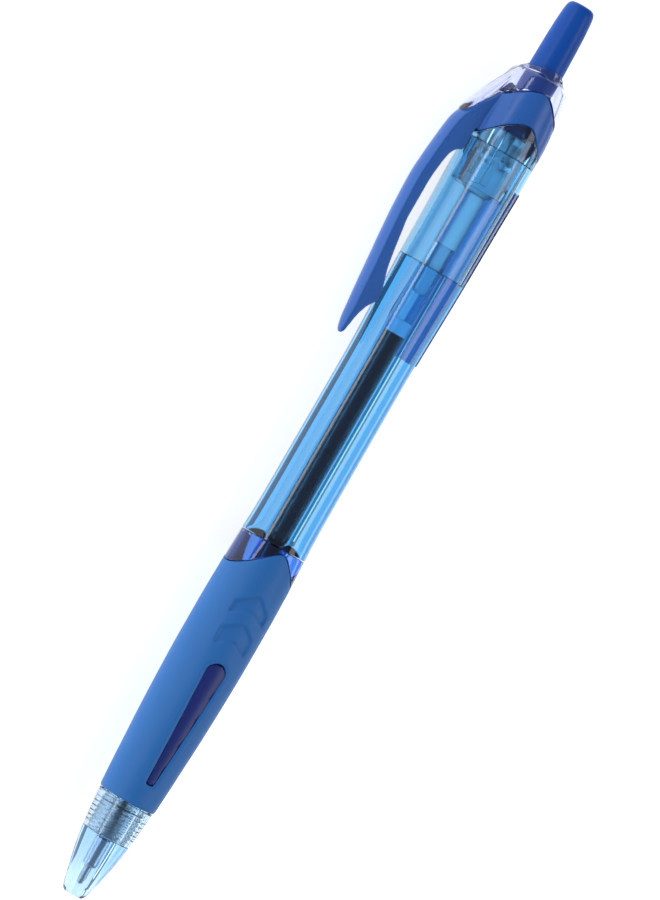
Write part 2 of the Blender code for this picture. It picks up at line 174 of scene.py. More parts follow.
def addMesh(name, verts, faces, sharp=40.0):
    mesh = bpy.data.meshes.new(name)
    mesh.from_pydata(verts, [], faces)
    bm = bmesh.new()
    bm.from_mesh(mesh)
    bmesh.ops.remove_doubles(bm, verts=bm.verts, dist=1e-4)
    bmesh.ops.dissolve_degenerate(bm, edges=bm.edges, dist=1e-5)
    bmesh.ops.recalc_face_normals(bm, faces=bm.faces)
    bm.to_mesh(mesh)
    bm.free()
    piece = bpy.data.objects.new(name, mesh)
    bpy.context.scene.collection.objects.link(piece)
    return shade(piece, sharp)


def ribbon(here, there, count, last):  # the faces between two rings of count points
    return [(here + k, here + (k + 1) % count, there + (k + 1) % count, there + k) for k in range(last)]


# turns a closed loop of (radius, z) points about the pen's axis: a loop that starts on the axis ends there
# too, and a loop given as a function of the angle may change on its way round
def turned(name, loop, steps=96, sharp=40.0):
    rings = []
    for i in range(steps):
        angle = 2 * math.pi * i / steps
        points = loop(angle) if callable(loop) else loop
        rings.append([(r * math.cos(angle), r * math.sin(angle), z) for r, z in points])
    count = len(rings[0])
    last = count if math.hypot(*rings[0][0][:2]) > 1e-4 else count - 1
    faces = []
    for i in range(steps):
        faces += ribbon(i * count, (i + 1) % steps * count, count, last)
    return addMesh(name, [point for ring in rings for point in ring], faces, sharp)


def lofted(name, rings):
    count = len(rings[0])
    faces = [tuple(range(count)), tuple((len(rings) - 1) * count + k for k in range(count))]
    for i in range(len(rings) - 1):
        faces += ribbon(i * count, (i + 1) * count, count, count)
    return addMesh(name, [point for ring in rings for point in ring], faces)


def prism(name, outline, half):  # a flat (x, z) outline, made 2 * half thick across the pen
    return lofted(name, [[(x, side * half, z) for x, z in outline] for side in (-1, 1)])


def settle(piece):  # keeps what the modifiers make as the piece's own plain mesh
    bpy.context.view_layer.update()
    mesh = bpy.data.meshes.new_from_object(piece.evaluated_get(bpy.context.evaluated_depsgraph_get()))
    piece.modifiers.clear()
    piece.data = mesh
    return piece


def join(piece, other, operation):
    modifier = piece.modifiers.new(operation.title(), "BOOLEAN")
    modifier.operation = operation
    modifier.object = other
    settle(piece)
    bpy.data.objects.remove(other)


def finish(piece, material, body, nodes, blend=None):
    piece.data.transform(penToWorld)
    piece.data.materials.clear()
    piece.data.materials.append(material)
    if blend:
        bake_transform(piece)
    else:
        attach(piece, body)
    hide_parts(*nodes)
    print("made", piece.name, len(piece.data.polygons), "faces")


# adds a node: an input takes a value, a node by its first output or a (node, output) pair, and what is given
# by name is the node's own settings
def addNode(tree, kind, inputs=(), **settings):
    node = tree.nodes.new(kind)
    for key, value in settings.items():
        setattr(node, key, value)
    for key, value in inputs.items() if isinstance(inputs, dict) else enumerate(inputs):
        source = value if isinstance(value, tuple) else (value, 0)
        if isinstance(source[0], bpy.types.Node):
            tree.links.new(source[0].outputs[source[1]], node.inputs[key])
        else:
            node.inputs[key].default_value = value
    return node


def startTree(name, sizes):
    tree = bpy.data.node_groups.new(name, "GeometryNodeTree")
    tree.is_modifier = True
    tree.interface.new_socket("Geometry", in_out="OUTPUT", socket_type="NodeSocketGeometry")
    tree.interface.new_socket("Geometry", in_out="INPUT", socket_type="NodeSocketGeometry")
    for label, value in sizes.items():
        kind = {int: "NodeSocketInt", float: "NodeSocketFloat"}.get(type(value), "NodeSocketVector")
        tree.interface.new_socket(label, in_out="INPUT", socket_type=kind).default_value = value
    tree.interface.new_socket("Material", in_out="INPUT", socket_type="NodeSocketMaterial")
    return tree, addNode(tree, "NodeGroupInput")


def endTree(tree, start, last):
    real = addNode(tree, "GeometryNodeRealizeInstances", [last])
    painted = addNode(tree, "GeometryNodeSetMaterial", {"Geometry": real, "Material": (start, "Material")})
    addNode(tree, "NodeGroupOutput", [painted])
    return tree


def runTree(piece, tree, sizes, material):
    modifier = piece.modifiers.new(tree.name, "NODES")
    modifier.node_group = tree
    for item in tree.interface.items_tree:
        if item.in_out == "INPUT" and item.name in sizes:
            modifier[item.identifier] = sizes[item.name]
        elif item.in_out == "INPUT" and item.name == "Material":
            modifier[item.identifier] = material
    return settle(piece)


def whereabouts(tree):  # each point's place, and how many turns it is round the axis
    xyz = addNode(tree, "ShaderNodeSeparateXYZ", [addNode(tree, "GeometryNodeInputPosition")])
    angle = addNode(tree, "ShaderNodeMath", [(xyz, "Y"), (xyz, "X")], operation="ARCTAN2")
    return xyz, addNode(tree, "ShaderNodeMath", [angle, 2 * math.pi], operation="DIVIDE")


# a helical ridge raised on the turned surface whose radius is Root, and a groove where Depth is negative
def makeThreadTree():
    tree, start = startTree("screwThread", dict(Root=3.05, Depth=0.2, Pitch=0.72, Foot=9.9, Top=14.9))
    xyz, turns = whereabouts(tree)
    rows = addNode(tree, "ShaderNodeMath", [(xyz, "Z"), (start, "Pitch")], operation="DIVIDE")
    phase = addNode(tree, "ShaderNodeMath", [rows, turns], operation="SUBTRACT")
    wave = addNode(tree, "ShaderNodeMath", [phase, 0.5], operation="PINGPONG")
    ridge = addNode(tree, "ShaderNodeMapRange", {"Value": wave, "From Min": 0.14, "From Max": 0.4},
                    interpolation_type="SMOOTHSTEP")
    footEnd = addNode(tree, "ShaderNodeMath", [(start, "Foot"), 0.4], operation="ADD")
    topStart = addNode(tree, "ShaderNodeMath", [(start, "Top"), 0.4], operation="SUBTRACT")
    rises = addNode(tree, "ShaderNodeMapRange", {
        "Value": (xyz, "Z"), "From Min": (start, "Foot"), "From Max": footEnd})
    falls = addNode(tree, "ShaderNodeMapRange", {
        "Value": (xyz, "Z"), "From Min": topStart, "From Max": (start, "Top"), "To Min": 1.0, "To Max": 0.0})
    ends = addNode(tree, "ShaderNodeMath", [rises, falls], operation="MULTIPLY")
    share = addNode(tree, "ShaderNodeMath", [ridge, ends], operation="MULTIPLY")
    height = addNode(tree, "ShaderNodeMath", [share, (start, "Depth")], operation="MULTIPLY")
    flat = addNode(tree, "ShaderNodeCombineXYZ", [(xyz, "X"), (xyz, "Y")])
    radius = addNode(tree, "ShaderNodeVectorMath", [flat], operation="LENGTH")
    outward = addNode(tree, "ShaderNodeVectorMath", [flat], operation="NORMALIZE")
    onRoot = addNode(tree, "FunctionNodeCompare", {
        "A": (radius, "Value"), "B": (start, "Root"), "Epsilon": 0.01}, data_type="FLOAT", operation="EQUAL")
    offset = addNode(tree, "ShaderNodeVectorMath", {0: outward, "Scale": height}, operation="SCALE")
    moved = addNode(tree, "GeometryNodeSetPosition", {
        "Geometry": (start, "Geometry"), "Selection": onRoot, "Offset": offset})
    return endTree(tree, start, moved)


# a compression spring of round wire whose first and last turns lie closed
def makeCoilTree():
    tree, start = startTree("coilSpring", dict(Turns=11.0, Radius=1.72, Wire=0.17, Foot=9.35, Top=23.15))
    spiral = addNode(tree, "GeometryNodeCurveSpiral", {
        "Resolution": 30, "Rotations": (start, "Turns"), "Start Radius": (start, "Radius"),
        "End Radius": (start, "Radius"), "Height": (start, "Turns")})
    xyz = addNode(tree, "ShaderNodeSeparateXYZ", [addNode(tree, "GeometryNodeInputPosition")])
    closed = addNode(tree, "ShaderNodeMath", [(start, "Wire"), 2.08], operation="MULTIPLY")
    lengthAll = addNode(tree, "ShaderNodeMath", [(start, "Top"), (start, "Foot")], operation="SUBTRACT")
    ends = addNode(tree, "ShaderNodeMath", [(start, "Wire"), 6.16], operation="MULTIPLY")
    live = addNode(tree, "ShaderNodeMath", [lengthAll, ends], operation="SUBTRACT")
    lastTurn = addNode(tree, "ShaderNodeMath", [(start, "Turns"), 1.0], operation="SUBTRACT")
    rise = addNode(tree, "ShaderNodeMath", [(start, "Foot"), (start, "Wire")], operation="ADD")
    stretches = [(0.0, 1.0, closed), (1.0, lastTurn, live), (lastTurn, (start, "Turns"), closed)]
    for fromTurn, toTurn, height in stretches:
        part = addNode(tree, "ShaderNodeMapRange", {
            "Value": (xyz, "Z"), "From Min": fromTurn, "From Max": toTurn, "To Max": height})
        rise = addNode(tree, "ShaderNodeMath", [rise, part], operation="ADD")
    target = addNode(tree, "ShaderNodeCombineXYZ", [(xyz, "X"), (xyz, "Y"), rise])
    path = addNode(tree, "GeometryNodeSetPosition", {"Geometry": spiral, "Position": target})
    wire = addNode(tree, "GeometryNodeCurvePrimitiveCircle", {"Resolution": 12, "Radius": (start, "Wire")})
    tube = addNode(tree, "GeometryNodeCurveToMesh", {"Curve": path, "Profile Curve": wire, "Fill Caps": True})
    return endTree(tree, start, tube)


# saw teeth on the ring of points that lies at Edge along the pen
def makeTeethTree():
    tree, start = startTree("camTeeth", dict(Edge=117.6, Count=8.0, Depth=0.7))
    xyz, turns = whereabouts(tree)
    steps = addNode(tree, "ShaderNodeMath", [turns, (start, "Count")], operation="MULTIPLY")
    saw = addNode(tree, "ShaderNodeMath", [steps], operation="FRACT")
    height = addNode(tree, "ShaderNodeMath", [saw, (start, "Depth")], operation="MULTIPLY")
    offset = addNode(tree, "ShaderNodeCombineXYZ", {"Z": height})
    onEdge = addNode(tree, "FunctionNodeCompare", {
        "A": (xyz, "Z"), "B": (start, "Edge"), "Epsilon": 0.01}, data_type="FLOAT", operation="EQUAL")
    moved = addNode(tree, "GeometryNodeSetPosition", {
        "Geometry": (start, "Geometry"), "Selection": onEdge, "Offset": offset})
    return endTree(tree, start, moved)


# blocks spaced evenly round the axis and joined to the piece
def makeSpokesTree():
    tree, start = startTree("spokes", dict(Count=4, Size=(0.9, 0.8, 3.7), Centre=(2.9, 0.0, 115.0), Turn=0.0))
    cube = addNode(tree, "GeometryNodeMeshCube", {"Size": (start, "Size")})
    away = addNode(tree, "GeometryNodeTransform", {"Geometry": cube, "Translation": (start, "Centre")})
    points = addNode(tree, "GeometryNodePoints", {"Count": (start, "Count")})
    index = addNode(tree, "GeometryNodeInputIndex")
    share = addNode(tree, "ShaderNodeMath", [index, (start, "Count")], operation="DIVIDE")
    angle = addNode(tree, "ShaderNodeMath", [share, 2 * math.pi, (start, "Turn")], operation="MULTIPLY_ADD")
    turn = addNode(tree, "ShaderNodeCombineXYZ", {"Z": angle})
    spread = addNode(tree, "GeometryNodeInstanceOnPoints", {
        "Points": points, "Instance": away, "Rotation": turn})
    blocks = addNode(tree, "GeometryNodeRealizeInstances", [spread])
    solid = addNode(tree, "GeometryNodeMeshBoolean", {"Mesh 2": (start, "Geometry")}, operation="UNION")
    tree.links.new(blocks.outputs["Geometry"], solid.inputs["Mesh 2"])
    return endTree(tree, start, solid)


threadTree, coilTree = makeThreadTree(), makeCoilTree()
teethTree, spokesTree = makeTeethTree(), makeSpokesTree()
print("geometry node trees built")


def blankMaterial(name):
    material = bpy.data.materials.new(name)
    material.use_nodes = True
    material.node_tree.nodes.clear()
    return material, material.node_tree


# a material for a piece of the pen: its patterns are read in the pen's own frame, in millimetres
def startMaterial(name):
    material, tree = blankMaterial(name)
    where = addNode(tree, "ShaderNodeTexCoord")
    pen = addNode(tree, "ShaderNodeMapping", {
        "Vector": (where, "Object"), "Location": penPlace, "Rotation": penTurn.to_euler(),
        "Scale": (mm, mm, mm)}, vector_type="TEXTURE")
    return material, tree, pen


# uneven patches of so many millimetres across and along the pen
def patches(tree, pen, across, along, detail=2.0):
    spaced = addNode(tree, "ShaderNodeMapping", {"Vector": pen, "Scale": (1 / across, 1 / across, 1 / along)})
    return addNode(tree, "ShaderNodeTexNoise", {"Vector": spaced, "Scale": 1.0, "Detail": detail})


# what the mould or the tool leaves: roughness that varies, and relief of so many millimetres
def surfaceFinish(tree, haze, roughness, marks, depth):
    low, high = roughness
    rough = addNode(tree, "ShaderNodeMapRange", {"Value": haze, "To Min": low, "To Max": high})
    return rough, addNode(tree, "ShaderNodeBump", {"Height": marks, "Strength": 0.5, "Distance": depth * mm})


def mouldedFinish(tree, pen, look):
    return surfaceFinish(tree, patches(tree, pen, *look["hazeGrain"]), look["roughness"],
                         patches(tree, pen, *look["flowGrain"], detail=1.0), look["waviness"])


# polished moulded plastic that light goes through: its tint is in its depth, and its surface shows only the
# slight waviness and flow lines that the mould and the cooling leave
def clearPlastic(name, look):
    material, tree, pen = startMaterial(name)
    rough, relief = mouldedFinish(tree, pen, look)
    surface = linear(look["surface"])
    if "thick" in look:  # from thickFrom upwards the wall is thicker, and looks deeper
        along = addNode(tree, "ShaderNodeSeparateXYZ", [pen])
        above = addNode(tree, "ShaderNodeMath", [(along, "Z"), look["thickFrom"]], operation="GREATER_THAN")
        colour = addNode(tree, "ShaderNodeMix", {
            "Factor": above, "A": surface, "B": linear(look["thick"])}, data_type="RGBA")
        surface = (colour, "Result")
    shader = addNode(tree, "ShaderNodeBsdfPrincipled", {
        "Base Color": surface, "IOR": look["ior"], "Transmission Weight": 1.0, "Roughness": rough,
        "Normal": relief})
    depth = addNode(tree, "ShaderNodeVolumeAbsorption", {
        "Color": linear(look["tint"]), "Density": look["density"]})
    addNode(tree, "ShaderNodeOutputMaterial", {"Surface": shader, "Volume": depth})
    return material


# moulded plastic or rubber that light doesn't go through, with a spark-eroded grain as coarse as it says
def solidPlastic(name, look):
    material, tree, pen = startMaterial(name)
    dark, light = map(linear, look["colours"])
    colour = addNode(tree, "ShaderNodeMix", {
        "Factor": patches(tree, pen, 3.0, 9.0), "A": dark, "B": light}, data_type="RGBA")
    rough, relief = surfaceFinish(
        tree, patches(tree, pen, 0.8, 2.4, detail=4.0), look["roughness"],
        patches(tree, pen, look["grain"], look["grain"]), look["depth"])
    shader = addNode(tree, "ShaderNodeBsdfPrincipled", {
        "Base Color": (colour, "Result"), "Roughness": rough, "Normal": relief, "IOR": look["ior"],
        "Specular IOR Level": look.get("shine", 0.5), "Sheen Weight": look.get("sheen", 0.0),
        "Subsurface Weight": look.get("glow", 0.0), "Subsurface Scale": 0.6 * mm})
    addNode(tree, "ShaderNodeOutputMaterial", {"Surface": shader})
    return material


# turned or drawn metal: fine rings round the axis, left by the tool or the die
def metal(name, look):
    material, tree, pen = startMaterial(name)
    rings = patches(tree, pen, 4.0, look["toolMark"], detail=3.0)
    rough, relief = surfaceFinish(tree, rings, look["roughness"], rings, look["markDepth"])
    shader = addNode(tree, "ShaderNodeBsdfPrincipled", {
        "Metallic": 1.0, "Base Color": linear(look["colour"]), "Roughness": rough, "Normal": relief})
    addNode(tree, "ShaderNodeOutputMaterial", {"Surface": shader})
    return material


# polycarbonate, polished mould: glassy, a breath of cool blue, so that the thread and the tip show through it
clearPolycarbonate = clearPlastic("clearMouldedPolycarbonate", dict(
    surface="#ECF8FF", tint="#A8DEFC", density=260.0, ior=1.58, roughness=(0.02, 0.05),
    hazeGrain=(1.5, 5.0), flowGrain=(0.9, 6.0), waviness=0.012))
# the same resin with blue dye: thin walls look sky blue, and long paths through it go navy
tintedPolycarbonate = clearPlastic("skyBlueMouldedPolycarbonate", dict(
    surface="#B3DEF5", tint="#40D0F3", density=200.0, ior=1.58, roughness=(0.015, 0.04),
    hazeGrain=(1.5, 8.0), flowGrain=(1.2, 14.0), waviness=0.012))
# with less dye, from a duller mould: pale and soft where it is thin, sky blue in the collar
paleBluePolycarbonate = clearPlastic("paleBlueMouldedPolycarbonate", dict(
    surface="#F0FAFF", thick="#A4D6F2", thickFrom=118.75, tint="#90DCF8", density=70.0, ior=1.58,
    roughness=(0.08, 0.14), hazeGrain=(1.5, 5.0), flowGrain=(1.0, 6.0), waviness=0.012))
# with a trace of violet, which hides the resin's yellow: bright, and violet where it is seen edge on, with
# its index set low so that the far walls don't go dark
violetPolycarbonate = clearPlastic("paleVioletMouldedPolycarbonate", dict(
    surface="#F2F4FF", tint="#C4D0FA", density=180.0, ior=1.48, roughness=(0.05, 0.09),
    hazeGrain=(1.5, 4.0), flowGrain=(1.0, 3.0), waviness=0.012))


# styrene-acrylonitrile, deep blue, polished mould: the thin threaded neck is pale and clear, the collar above
# the grip is deep and clear, and the bosses between them have a ground face; their dark navy colour, which
# lets little light through, is the plastic's deep blue with painted shade for the shade inside the grip's
# windows
def makeDeepStyrene(look):
    material, tree, pen = startMaterial("deepBlueMouldedStyreneAcrylonitrile")
    along = addNode(tree, "ShaderNodeSeparateXYZ", [pen])
    above = addNode(tree, "ShaderNodeMapRange", {
        "Value": (along, "Z"), "From Min": look["neckTo"], "From Max": look["bossFrom"]})
    boss = addNode(tree, "ShaderNodeMath", [(along, "Z"), look["bossMiddle"], look["bossHalf"]],
                   operation="COMPARE")
    dyed = addNode(tree, "ShaderNodeMix", {
        "Factor": above, "A": linear(look["neck"]), "B": linear(look["collar"])}, data_type="RGBA")
    # in the bosses the colour turns dark navy and less light goes through: painted shade, for the shade
    # inside the grip's windows
    colour = addNode(tree, "ShaderNodeMix", {
        "Factor": boss, "A": (dyed, "Result"), "B": linear(look["boss"])}, data_type="RGBA")
    haze, relief = mouldedFinish(tree, pen, look)
    rough = addNode(tree, "ShaderNodeMath", [boss, look["groundRough"], haze], operation="MULTIPLY_ADD")
    clear = addNode(tree, "ShaderNodeMapRange", {"Value": boss, "To Min": 1.0, "To Max": look["paintedShadeClear"]})
    shader = addNode(tree, "ShaderNodeBsdfPrincipled", {
        "Base Color": (colour, "Result"), "Roughness": rough, "IOR": look["ior"], "Normal": relief,
        "Transmission Weight": clear, "Specular IOR Level": look["shine"]})
    depth = addNode(tree, "ShaderNodeVolumeAbsorption", {
        "Color": linear(look["tint"]), "Density": look["density"]})
    addNode(tree, "ShaderNodeOutputMaterial", {"Surface": shader, "Volume": depth})
    return material


# boss is the plastic's deep blue darkened to navy by painted shade for the grip's windows, and
# paintedShadeClear is how much light still goes through there
deepStyrene = makeDeepStyrene(dict(
    neck="#E8F7FF", collar="#5290E4", boss="#20348C", neckTo=15.0, bossFrom=16.5, bossMiddle=32.0,
    bossHalf=15.5, paintedShadeClear=0.25, groundRough=0.3, tint="#60C0F4", density=70.0, ior=1.58, shine=0.25,
    roughness=(0.02, 0.05), hazeGrain=(1.5, 5.0), flowGrain=(1.0, 6.0), waviness=0.012))
# polypropylene tube, extruded: cloudy clear, with fine drawn lines along it
extrudedPolypropylene = clearPlastic("extrudedPolypropylene", dict(
    surface="#F4FAFF", tint="#E4F2FF", density=120.0, ior=1.49, roughness=(0.08, 0.16),
    hazeGrain=(0.3, 6.0), flowGrain=(0.25, 20.0), waviness=0.01))
# natural acetal, moulded: milky, and waxy to look at
naturalAcetal = clearPlastic("naturalMouldedAcetal", dict(
    surface="#FAFDFF", tint="#E6F4FF", density=80.0, ior=1.48, roughness=(0.3, 0.42),
    hazeGrain=(0.8, 0.8), flowGrain=(0.6, 0.6), waviness=0.01))
# polybutene grease above the ink: clear, stained violet by it
followerGrease = clearPlastic("polybuteneGrease", dict(
    surface="#FFFFFF", tint="#D0CCFA", density=80.0, ior=1.5, roughness=(0.05, 0.1),
    hazeGrain=(0.5, 0.5), flowGrain=(0.8, 0.8), waviness=0.01))
# acetal clip, polished mould: royal blue, bright but soft highlights
royalBlueAcetal = solidPlastic("royalBlueMouldedAcetal", dict(
    colours=("#2B64B8", "#326EC2"), ior=1.46, roughness=(0.24, 0.34), grain=0.12, depth=0.0012, glow=0.1))
# ABS button, moulded: deeper blue than the clip, with duller highlights
royalBlueAbs = solidPlastic("royalBlueMouldedAbs", dict(
    colours=("#1250AC", "#1858B6"), ior=1.46, shine=0.25, roughness=(0.26, 0.36), grain=0.15, depth=0.001))
# thermoplastic rubber grip, satin mould: its grain is drawn a little coarse so that it shows
gripRubber = solidPlastic("satinThermoplasticRubber", dict(
    colours=("#2872BC", "#307AC4"), ior=1.4, roughness=(0.44, 0.56), grain=0.14, depth=0.006, sheen=0.05,
    glow=0.1))
# water gel ink: wet, nearly black, blue where a thin edge lets light in
gelInk = solidPlastic("blueBlackGelInk", dict(
    colours=("#040C30", "#081844"), ior=1.35, shine=0.1, roughness=(0.06, 0.12), grain=0.4, depth=0.001))
# stainless steel tip, turned on a lathe
turnedStainless = metal("turnedStainlessSteel", dict(
    colour="#DADCE2", roughness=(0.3, 0.42), toolMark=0.06, markDepth=0.004))
# tungsten carbide ball, lapped to a mirror
lappedCarbide = metal("lappedTungstenCarbide", dict(
    colour="#8C8C92", roughness=(0.05, 0.09), toolMark=0.3, markDepth=0.001))
# stainless spring wire, drawn
drawnSpringWire = metal("drawnSpringWire", dict(
    colour="#D2D6DC", roughness=(0.25, 0.4), toolMark=0.15, markDepth=0.002))


# blank printed polypropylene film: mid blue ink under a clear face, with a plain navy band near one edge
def makeLabelFilm(look):
    material, tree, pen = startMaterial("printedLabelFilm")
    flat = addNode(tree, "ShaderNodeUVMap", uv_map="labelMap")
    uv = addNode(tree, "ShaderNodeSeparateXYZ", [flat])
    across = addNode(tree, "ShaderNodeMath", [(uv, "X"), look["bandAcross"]], operation="LESS_THAN")
    up = addNode(tree, "ShaderNodeMath", [(uv, "Y"), look["bandUp"]], operation="GREATER_THAN")
    band = addNode(tree, "ShaderNodeMath", [across, up], operation="MULTIPLY")
    clouds = patches(tree, pen, 1.2, 1.2, detail=3.0)
    dark, light = map(linear, look["colours"])
    base = addNode(tree, "ShaderNodeMix", {"Factor": clouds, "A": dark, "B": light}, data_type="RGBA")
    colour = addNode(tree, "ShaderNodeMix", {
        "Factor": band, "A": (base, "Result"), "B": linear(look["band"])}, data_type="RGBA")
    rough, relief = surfaceFinish(tree, clouds, look["roughness"], clouds, 0.002)
    shader = addNode(tree, "ShaderNodeBsdfPrincipled", {
        "Base Color": (colour, "Result"), "Roughness": rough, "Normal": relief, "IOR": 1.49,
        "Transmission Weight": look["clear"], "Coat Weight": 0.3, "Coat Roughness": 0.1})
    addNode(tree, "ShaderNodeOutputMaterial", {"Surface": shader})
    return material


labelFilm = makeLabelFilm(dict(
    colours=("#8CB4EC", "#98C0F4"), band="#3A4CB0", clear=0.8, roughness=(0.3, 0.42), bandAcross=0.2,
    bandUp=0.5))
print("materials made:", len(bpy.data.materials))

# The nose cone, threaded inside.
nose = dict(
    outline=[(0.0, 1.45), (0.35, 1.72), (0.8, 1.92), (1.9, 2.22), (2.6, 2.38), (5.4, 3.02), (8.2, 3.52),
             (11.0, 3.87), (13.8, 4.12), (coneTop, 4.22)],
    mouth=1.25, mouthDepth=1.6, bore=1.45, shoulder=9.3, cavity=3.45, threadFoot=10.1,
    threadTop=coneTop - 0.3, threadDepth=-0.05, pitch=0.72, spacing=0.3, threadSpacing=0.09)


def makeNose():
    outside = stretch(fair(nose["outline"]), coneTop, 0.0, nose["spacing"])
    outside[0] = (*outside[0], 0.12)
    outside[-1] = (*outside[-1], 0.1)
    inside = [(nose["mouth"], 0.0, 0.08), (nose["mouth"], nose["mouthDepth"]),
              (nose["bore"], nose["mouthDepth"] + 0.25), (nose["bore"], nose["shoulder"], 0.1),
              (nose["cavity"], nose["shoulder"], 0.15)]
    inside += stretch(lambda z: nose["cavity"], nose["shoulder"] + 0.4, nose["threadTop"],
                      nose["threadSpacing"])
    inside.append((nose["cavity"] + 0.15, coneTop))
    cone = turned("noseCone", softened(outside + inside), steps=112, sharp=50)
    runTree(cone, threadTree, dict(Root=nose["cavity"], Depth=nose["threadDepth"], Pitch=nose["pitch"],
                                   Foot=nose["threadFoot"], Top=nose["threadTop"]), clearPolycarbonate)
    finish(shade(cone, 50), clearPolycarbonate, "nose", ["nose_cone"])


makeNose()

# The grip, and the inner barrel whose kite-shaped boss fills the grip's window.
grip = dict(
    outline=[(gripFoot, 4.22), (15.5, 4.36), (16.5, 4.43), (19.3, 4.6), (22.1, 4.74), (27.6, 5.02),
             (33.2, 5.21), (38.8, 5.32), (44.3, 5.33), (49.9, 5.25), (54.9, 5.13), (barrelFoot, 5.05)],
    core=[(gripFoot, 3.3), (16.5, 3.4), (22.1, 3.65), (27.6, 3.95), (33.2, 4.12), (38.8, 4.22), (57.0, 4.22)],
    topRadius=5.15, seat=4.28, fit=0.06, bend=49.5, vSlope=1.0, edge=0.22, steps=160, spacing=0.24,
    chevrons=[(49.0, 46.7, 46.7, 45.2, 2.85), (44.6, 41.8, 42.8, 40.4, 2.6)], chevronDepth=0.36, soft=0.11,
    markReach=4.4, lip=0.55, lipDepth=0.26)
window = dict(tip=0.5, half=1.6, foot=0.65, top=38.1, shoulder=37.2, low=18.6, corner=0.35)
gripCurve, coreCurve = fair(grip["outline"]), fair(grip["core"])


def saddle(x, slope):  # a V of this slope, rounded at its point
    return slope * (math.sqrt(x * x + 0.6) - 0.775)


def gripTop(angle):
    return gripPeak - saddle(grip["topRadius"] * math.cos(angle), grip["vSlope"])


def windowOutline(inset):
    half, foot = window["half"] - inset, window["foot"] - inset
    top, shoulder, low = window["top"] - 1.4 * inset, window["shoulder"] - 0.4 * inset, window["low"] + inset
    corner = window["corner"]
    return softened([
        (-window["tip"], top, corner), (window["tip"], top, corner), (half, shoulder, 2 * corner),
        (foot, low, corner), (-foot, low, corner), (-half, shoulder, 2 * corner)], arc=3)


def chevronOutline(peak, innerPeak, end, innerEnd, half):
    return softened([(0.0, peak, 0.9), (half, end, 0.25), (half, innerEnd, 0.25), (0.0, innerPeak, 0.7),
                     (-half, innerEnd, 0.25), (-half, end, 0.25)], arc=3)


def makeGrip():
    marks = [chevronOutline(*row) for row in grip["chevrons"]]
    frameLine = windowOutline(0.0)
    count = math.ceil((gripPeak - gripFoot) / grip["spacing"])

    def section(angle):
        top, bend, edge = gripTop(angle), grip["bend"], grip["edge"]
        outside = [(gripCurve(top), top, edge)]
        for i in range(count + 1):
            z = gripPeak + (gripFoot - gripPeak) * i / count
            if z > bend:
                z = bend + (z - bend) * (top - 2.5 * edge - bend) / (gripPeak - bend)
            r = gripCurve(z)
            x = r * math.cos(angle)
            if abs(x) < grip["markReach"]:
                for mark in marks:
                    r -= grip["chevronDepth"] * smoothStep(-grip["soft"], grip["soft"], insideBy(mark, x, z))
                r -= grip["lipDepth"] * smoothStep(-grip["lip"], 0.05, insideBy(frameLine, x, z))
            outside.append((r, z))
        outside[-1] = (*outside[-1], 0.08)
        inside = stretch(coreCurve, gripFoot, bend, 2.0, -grip["fit"])
        return softened(outside + inside + [(grip["seat"], top, 0.1)])

    sleeve = turned("gripSleeve", section, steps=grip["steps"], sharp=50)
    join(sleeve, prism("windowCutter", frameLine, 7.0), "DIFFERENCE")
    finish(shade(sleeve, 50), gripRubber, "body", ["grip"])


makeGrip()

inner = dict(
    neck=3.05, neckFoot=9.4, bore=2.15, mouth=56.75, threadFoot=9.7, threadTop=14.9, threadDepth=0.2,
    bossLift=0.3, bossReach=2.5, collarGap=0.1, collarInset=0.03, seat=4.22, coreTop=50.0, spacing=0.26,
    steps=144)


def makeInnerBarrel():
    boss = windowOutline(0.12)
    foot = gripFoot + 0.05

    def section(angle):
        step = gripTop(angle) + inner["collarGap"]
        top = barrelFoot - inner["collarGap"]
        inset = inner["collarInset"]
        outside = [(gripCurve(top) - inset, top, 0.12), (gripCurve(step) - inset, step, 0.15),
                   (inner["seat"], step)]
        for i in range(math.ceil((inner["coreTop"] - foot) / inner["spacing"]) + 1):
            z = max(inner["coreTop"] - inner["spacing"] * i, foot)
            r = coreCurve(z)
            x = r * math.cos(angle)
            if abs(x) < inner["bossReach"]:
                lift = gripCurve(z) - inner["bossLift"] - r
                r += lift * smoothStep(-0.1, 0.1, insideBy(boss, x, z))
            outside.append((r, z))
        outside.append((inner["neck"], foot, 0.1))
        outside += stretch(lambda z: inner["neck"], inner["threadTop"] + 0.1, inner["neckFoot"] + 0.15,
                           nose["threadSpacing"])
        return softened(outside + [
            (inner["neck"] - 0.15, inner["neckFoot"]), (inner["bore"], inner["neckFoot"], 0.1),
            (inner["bore"], inner["mouth"], 0.1), (2.4, inner["mouth"], 0.1), (2.85, 56.0), (3.0, top)])

    core = turned("innerBarrel", section, steps=inner["steps"], sharp=50)
    runTree(core, threadTree, dict(Root=inner["neck"], Depth=inner["threadDepth"], Pitch=nose["pitch"],
                                   Foot=inner["threadFoot"], Top=inner["threadTop"]), deepStyrene)
    finish(shade(core, 50), deepStyrene, "body", ["front_barrel"])


makeInnerBarrel()

# The barrel, and the blank label round part of its back.
barrel = dict(
    outline=[(barrelFoot, 5.05), (58.2, 4.94), (61.0, 4.87), (66.5, 4.84), (83.0, 4.8), (86.0, 4.82),
             (88.8, 4.88), (94.0, 5.02), (99.9, 5.16), (107.0, 5.26), (112.4, 5.36), (115.0, 5.42),
             (barrelTop, 5.43)],
    mouth=2.95, bore=2.0, shoulder=99.95, wide=4.3)
barrelCurve = fair(barrel["outline"])


